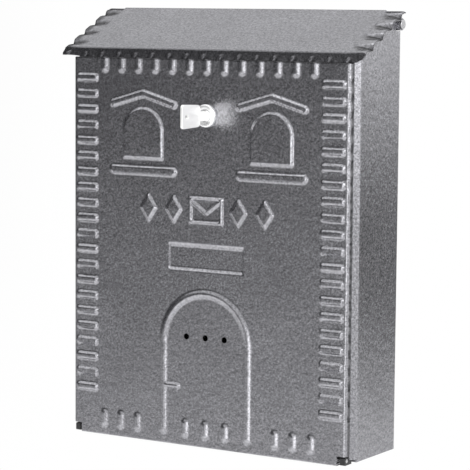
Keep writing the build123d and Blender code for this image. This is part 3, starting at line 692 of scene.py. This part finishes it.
# ---------------------------------------------------------------- case wrap
def build_case():
    hw = CASE_HALF
    wall = WALL_D
    outer = [(-(hw - 4.0), 7.0), (-hw, 11.0), (-hw, wall), (hw, wall), (hw, 11.0), (hw - 4.0, 7.0)]
    # walking this way round, the outside is on the right
    side_step = 3.0
    back_breaks = [(-hw, 0), (-96, 0), (-84, 0), (84, 0), (96, 0), (hw, 0)]
    prof, nrm = rounded_path(outer, [1.3, 1.8, 1.8, 1.3], [1.0, side_step, 3.0, side_step, 1.0])
    nrm = -nrm
    # replace the back run by one with lines at the knuckle cuts and close together round the holes
    on_back = np.abs(prof[:, 1] - wall) < 1e-6
    first, last = np.where(on_back)[0][[0, -1]]
    xa, xb = prof[first, 0], prof[last, 0]
    bx = spaced([(xa, 3.0), (-94.5, 0.75), (-85.5, 2.75), (-79.5, 3.0), (-30.5, 3.0), (30.5, 3.0), (79.5, 2.75),
                 (85.5, 0.75), (94.5, 3.0), (xb, 3.0)], 3.0)
    back = np.stack([bx, np.full_like(bx, wall)], axis=1)
    prof = np.concatenate([prof[:first], back, prof[last + 1:]])
    nrm = np.concatenate([nrm[:first], np.tile([[0.0, 1.0]], (len(bx), 1)), nrm[last + 1:]])
    nu = len(prof)
    foot, low_top = 2.0, 323.8
    hole_lo, hole_hi = -LOW - 110.0, -LOW + 110.0
    hs = spaced([(foot, 0), (4.2, 3.0), (hole_lo - 4.5, 0.75), (hole_lo + 4.5, 3.5), (hole_hi - 4.5, 0.75),
                 (hole_hi + 4.5, 3.0), (low_top, 0)], 2.2)
    t = (hs - foot) / (low_top - foot)
    d = prof[:, 1]
    top = np.where(d < 62.6, LH0 - 4.3 + (d - LD0) * math.tan(SLOPE), low_top)
    sides = np.abs(np.abs(prof[:, 0]) - hw) < 4.5
    T, TOP = np.meshgrid(t, top, indexing="ij")
    Hh = foot + (TOP - foot) * T
    X = np.tile(prof[:, 0], (len(t), 1))
    D = np.tile(d, (len(t), 1))
    # slight dishing of the large panels
    dish = np.sin(np.clip((D - 11) / (wall - 11), 0, 1) * math.pi) * np.sin(np.clip(Hh / 320, 0, 1) * math.pi)
    X = X - np.sign(X) * 0.25 * dish * (np.abs(np.abs(X) - hw) < 0.01)
    nv = len(t)
    keep = np.ones((nv - 1, nu - 1), bool)
    dm = (d[:-1] + d[1:]) / 2
    hm = (Hh[:-1, 0] + Hh[1:, 0]) / 2
    for j in range(nv - 1):
        if hs[j + 1] <= 4.21:
            keep[j] &= ~((dm < 11.6))
    # knuckles rolled from the top edge of the back
    roll, _ = spiral(0, 270, 4.7, 3.62, 80, 500, 15.0, 1)
    rise = np.array([[wall, 326.4]])
    extra = np.concatenate([rise, roll])
    Xe = np.tile(prof[:, 0], (len(extra), 1))
    De = np.tile(extra[:, 0][:, None], (1, nu))
    He = np.tile(extra[:, 1][:, None], (1, nu))
    De = np.where(np.abs(d - wall)[None, :] < 1e-6, De, D[0][None, :])
    X = np.concatenate([X, Xe]); D = np.concatenate([D, De]); Hh = np.concatenate([Hh, He])
    xm = np.abs(prof[:-1, 0] + prof[1:, 0]) / 2
    is_back = (np.abs(prof[:-1, 1] - wall) < 1e-6) & (np.abs(prof[1:, 1] - wall) < 1e-6)
    kk = is_back & (xm > 30.5) & (xm < 79.5)
    keep = np.concatenate([keep, np.tile(kk, (len(extra), 1))])
    f = grid_quads(nu, nv + len(extra), keep)
    P = np.stack([X, D, Hh], axis=-1).reshape(-1, 3)
    # the side tops step down under the hinge (see top above); drop unused points
    P, f = compress(P, f)
    face = P[:, [0, 2]].copy()
    on_back = np.abs(P[:, 1] - wall) < 1e-6
    back_faces = on_back[f].all(axis=1)
    fb, fo = f[back_faces], f[~back_faces]
    for cx in (-90.0, 90.0):
        for cz in (hole_lo, hole_hi):
            fb = snap_hole(face, fb, cx, cz, 3.0)
    P[on_back, 0] = face[on_back, 0]
    P[on_back, 2] = face[on_back, 1]
    f = np.concatenate([fb, fo])
    P, f = compress(P, f)
    n = vertex_normals(P, f)
    k = np.argmin(np.abs(P[:, 0] - hw) + np.abs(P[:, 1] - 40) + np.abs(P[:, 2] - 150))
    if n[k, 0] < 0:
        f = f[:, ::-1]
    V3, F3 = thicken(P, f, SHEET)
    # lighter bend where the front bevel meets the side: worn edge and painted highlight
    bevel = np.clip(1 - np.abs(np.abs(P[:, 0]) - hw) / 0.6, 0, 1) * (np.abs(P[:, 1] - 11) < 1.4)
    wear_and_sheen = 0.6 * bevel
    # painted shadow on the front return's inner edge, in the gap beside the door
    painted_shade = 0.6 * (1 - smooth01((P[:, 1] - 7.0) / 0.8))
    return make_object("case_shell", V3, F3, [body_paint], "case", ["case_wrap"],
                       wear_and_sheen=np.concatenate([wear_and_sheen, wear_and_sheen * 0]), painted_shade=np.concatenate([painted_shade, painted_shade * 0]))


case = build_case()


# ---------------------------------------------------------------- lock and key
def lathe(name, profile, n, centre, materials, body, replaces=(), angle=35.0):
    """Turned part about the lock axis: profile holds (radius, d) pairs, closed."""
    m = len(profile)
    v = []
    for k in range(n):
        a = 2 * math.pi * k / n
        for r, d in profile:
            v.append((centre[0] + r * math.cos(a), d, centre[1] + r * math.sin(a)))
    f = []
    for k in range(n):
        for i in range(m):
            j = (i + 1) % m
            f.append((k * m + i, k * m + j, ((k + 1) % n) * m + j, ((k + 1) % n) * m + i))
    v, f = np.array(v), np.array(f)
    nn = vertex_normals(v, f)
    k = max(range(m), key=lambda i: profile[i][0])
    if nn[k, 0] < 0:
        f = f[:, ::-1]
    return make_object(name, v, f, materials, body, replaces, angle)


prof = [(5.05, 15.2), (5.05, -2.2), (5.35, -2.75), (6.0, -2.95)]
for k in range(7):                               # slightly domed rim of the lock face
    a = math.radians(90 * k / 6)
    prof.append((7.65 + 1.2 * math.sin(a), -1.8 - 1.2 * math.cos(a)))
prof += [(8.85, -0.25), (8.6, 0.0), (7.0, 0.0), (7.0, 0.9)]
d = 0.9
while d < 13.6:                                  # rolled thread on the barrel
    prof += [(6.62, d + 0.35), (6.62, d + 0.5), (7.0, d + 0.85), (7.0, d + 1.0)]
    d += 1.0
prof += [(7.0, 14.6), (6.6, 15.2)]
lathe("lock_body", prof, 72, (0.0, LOCK_H), [chrome], "door", ["lock_housing"])

# flat key: rectangular bow with a ring hole, stepped shoulder, shank with shallow cuts
hk = LOCK_H + 0.4
bow = []
for sx, sy, a0, r in ((1, 1, 0, 3.0), (-1, 1, 90, 2.6), (-1, -1, 180, 2.6), (1, -1, 270, 3.0)):
    cx0 = -22.7 + sx * (12.3 - r)
    cy0 = hk + sy * (9.2 - r)
    if sx > 0:
        cy0 -= sy * 0.8
    arcp = [(cx0 + r * math.cos(math.radians(a0 + 90 * k / 7)), cy0 + r * math.sin(math.radians(a0 + 90 * k / 7))) for k in range(8)]
    bow.append(arcp)
top_right, top_left, low_left, low_right = bow
cuts = [(-10.4, LOCK_H - 3.6), (-2.6, LOCK_H - 3.6), (-1.4, LOCK_H - 2.5), (0.2, LOCK_H - 2.5), (1.4, LOCK_H - 3.2), (3.0, LOCK_H - 3.2),
        (4.2, LOCK_H - 2.0), (5.8, LOCK_H - 2.0), (7.0, LOCK_H - 3.0), (8.8, LOCK_H - 3.0), (10.2, LOCK_H - 2.6), (12.6, LOCK_H - 0.6),
        (12.6, LOCK_H + 1.2), (10.4, LOCK_H + 3.6), (-10.4, LOCK_H + 3.6)]
outline = top_left + low_left + low_right + cuts + top_right
hole = circle(-28.6, hk, 1.9, 32)
outline_object("key_blade", [outline, hole], 1.0, 0.22, lambda a, b, c: (c, a, b), [key_metal], "key", ["key"])


# ---------------------------------------------------------------- carried-over CAD nodes
def dress(name, material, bevel=0.15):
    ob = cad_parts[name]
    ob.data.materials.clear()
    ob.data.materials.append(material)
    w = ob.modifiers.new("weld", "WELD")
    w.merge_threshold = 0.000005
    if bevel:
        b = ob.modifiers.new("edges", "BEVEL")
        b.width = bevel / 1000
        b.segments = 2
        b.limit_method = "ANGLE"
        b.angle_limit = math.radians(40)
        b.harden_normals = False
    return ob


dress("floor_pan", body_paint, 0.3)
dress("top_rail", body_paint, 0.3)
dress("lid_hinge_rod", rod_steel, 0)
for n in ("hinge_block_left", "hinge_block_right"):
    dress(n, black, 0.25)
for n in ("hinge_pin_left", "hinge_pin_right", "hinge_block_rivets"):
    dress(n, pin_steel, 0)
dress("lock_washer", zinc, 0.1)
dress("lock_nut", zinc, 0.25)
dress("lock_plug", chrome, 0)
dress("lock_wafers", brass, 0)
dress("lock_cam", zinc, 0.2)
dress("cam_washer", zinc, 0.08)
dress("cam_screw", zinc, 0)


# ---------------------------------------------------------------- floor, light, camera
def stage_disc(name, radius, z, tone):
    me = bpy.data.meshes.new(name)
    bm = bmesh.new()
    bmesh.ops.create_circle(bm, cap_ends=True, radius=radius, segments=96)
    for v in bm.verts:
        v.co.z = z
    bm.to_mesh(me)
    bm.free()
    ob = bpy.data.objects.new(name, me)
    scene.collection.objects.link(ob)
    m, nt, b = new_material(name + "_paper")
    co = node(nt, "ShaderNodeTexCoord").outputs["Object"]
    col = mix_color(nt, noise(nt, co, 1.5, 2.0), tone, tuple(c * 0.985 for c in tone))
    nt.links.new(col, b.inputs["Base Color"])
    b.inputs["Roughness"].default_value = 0.9
    b.inputs["Specular IOR Level"].default_value = 0.0
    me.materials.append(m)
    return ob


stage_disc("pale_floor", 3.3, -1.0, (0.97, 0.97, 0.97))

world = bpy.data.worlds.new("studio")
scene.world = world
world.use_nodes = True
wn = world.node_tree
bg = wn.nodes["Background"]
tc = node(wn, "ShaderNodeTexCoord")
sep = node(wn, "ShaderNodeSeparateXYZ")
wn.links.new(tc.outputs["Generated"], sep.inputs[0])


def world_ramp(val, a, b):
    r = node(wn, "ShaderNodeMapRange", interpolation_type="SMOOTHSTEP")
    r.inputs["From Min"].default_value = a
    r.inputs["From Max"].default_value = b
    wn.links.new(val, r.inputs["Value"])
    return r.outputs["Result"]


def facing(direction):
    x = node(wn, "ShaderNodeVectorMath", operation="DOT_PRODUCT")
    x.inputs[1].default_value = Vector(direction)
    wn.links.new(tc.outputs["Generated"], x.inputs[0])
    return x.outputs["Value"]


# a white room with an unlit stretch low on the left and one dim corner behind on the right
unlit = maths(wn, "MULTIPLY", world_ramp(facing((-0.95, -0.31, 0)), 0.30, 0.82),
              maths(wn, "MULTIPLY", world_ramp(sep.outputs["Z"], -0.30, -0.03),
                    maths(wn, "SUBTRACT", 1.0, world_ramp(sep.outputs["Z"], 0.26, 0.52))))
far_left = maths(wn, "MULTIPLY", world_ramp(facing((-0.95, 0.31, 0)), 0.84, 0.90),
                 maths(wn, "MULTIPLY", world_ramp(sep.outputs["Z"], -0.30, -0.03),
                       maths(wn, "SUBTRACT", 1.0, world_ramp(sep.outputs["Z"], 0.26, 0.52))))
unlit = maths(wn, "MAXIMUM", unlit, far_left)
corner = maths(wn, "MULTIPLY", world_ramp(facing(Vector((0.46, 0.888, 0)).normalized()), 0.86, 0.96),
               maths(wn, "SUBTRACT", 1.0, world_ramp(maths(wn, "ABSOLUTE", maths(wn, "ADD", sep.outputs["Z"], 0.115), 0.0), 0.035, 0.085)))
above = world_ramp(facing(Vector((-0.45, -0.35, 0.82)).normalized()), 0.80, 0.97)
beside = world_ramp(facing(Vector((0.46, 0.888, -0.1)).normalized()), 0.70, 0.97)
room = mix_color(wn, above, (1.0, 1.0, 1.0), (1.3, 1.3, 1.3))
room = mix_color(wn, beside, room, (1.35, 1.35, 1.35))
room = mix_color(wn, unlit, room, (0.03, 0.03, 0.034))
room = mix_color(wn, corner, room, (0.0, 0.0, 0.0))
behind = maths(wn, "MULTIPLY", world_ramp(facing(Vector((-0.53, 0.85, 0.2)).normalized()), 0.72, 0.90),
               maths(wn, "MULTIPLY", world_ramp(sep.outputs["Z"], 0.05, 0.12),
                     maths(wn, "SUBTRACT", 1.0, world_ramp(sep.outputs["Z"], 0.48, 0.68))))
room = mix_color(wn, behind, room, (0.03, 0.03, 0.034))
wn.links.new(room, bg.inputs["Color"])
bg.inputs["Strength"].default_value = 1.0


def area(name, loc, target, size_x, size_y, power, color=(1, 1, 1)):
    la = bpy.data.lights.new(name, "AREA")
    la.shape = "RECTANGLE"
    la.size, la.size_y = size_x, size_y
    la.energy = power
    la.color = color
    ob = bpy.data.objects.new(name, la)
    scene.collection.objects.link(ob)
    ob.location = loc
    ob.rotation_mode = "QUATERNION"
    ob.rotation_quaternion = (Vector(target) - Vector(loc)).to_track_quat("-Z", "Y")
    return ob


area("softbox_right", (1.9, -1.1, 0.86), (0, 0, 0.02), 2.0, 1.7, 27)
area("softbox_front", (0.8, -2.1, -0.27), (0, 0, 0), 0.7, 0.9, 5.5)
area("softbox_top", (0.1, -0.2, 1.9), (0, 0, 0), 1.6, 1.4, 9)
area("floor_wash", (-0.7, -1.3, -0.25), (-0.7, -1.3, -1.0), 1.6, 1.6, 5)

cam_data = bpy.data.cameras.new("camera")
cam = bpy.data.objects.new("camera", cam_data)
scene.collection.objects.link(cam)
scene.camera = cam
cam_data.sensor_fit = "HORIZONTAL"
cam_data.sensor_width = 36.0
cam_data.lens = 2140.92 / 470 * 36
yaw, pitch, roll = math.radians(31.92), math.radians(6.16), math.radians(0.45)
back = Vector((math.sin(yaw) * math.cos(pitch), -math.cos(yaw) * math.cos(pitch), math.sin(pitch)))
right0 = (-back).cross(Vector((0, 0, 1))).normalized()
up0 = right0.cross(-back)
right = right0 * math.cos(roll) + up0 * math.sin(roll)
up = -right0 * math.sin(roll) + up0 * math.cos(roll)
where = Vector((26.44, FRONT, 168.15 + LOW)) / 1000 + back * 1.63193
cam.matrix_world = Matrix(((right.x, up.x, back.x, where.x), (right.y, up.y, back.y, where.y),
                           (right.z, up.z, back.z, where.z), (0, 0, 0, 1)))
cam_data.clip_start = 0.05
cam_data.clip_end = 200
scene.view_settings.view_transform = "Standard"

bpy.context.view_layer.update()
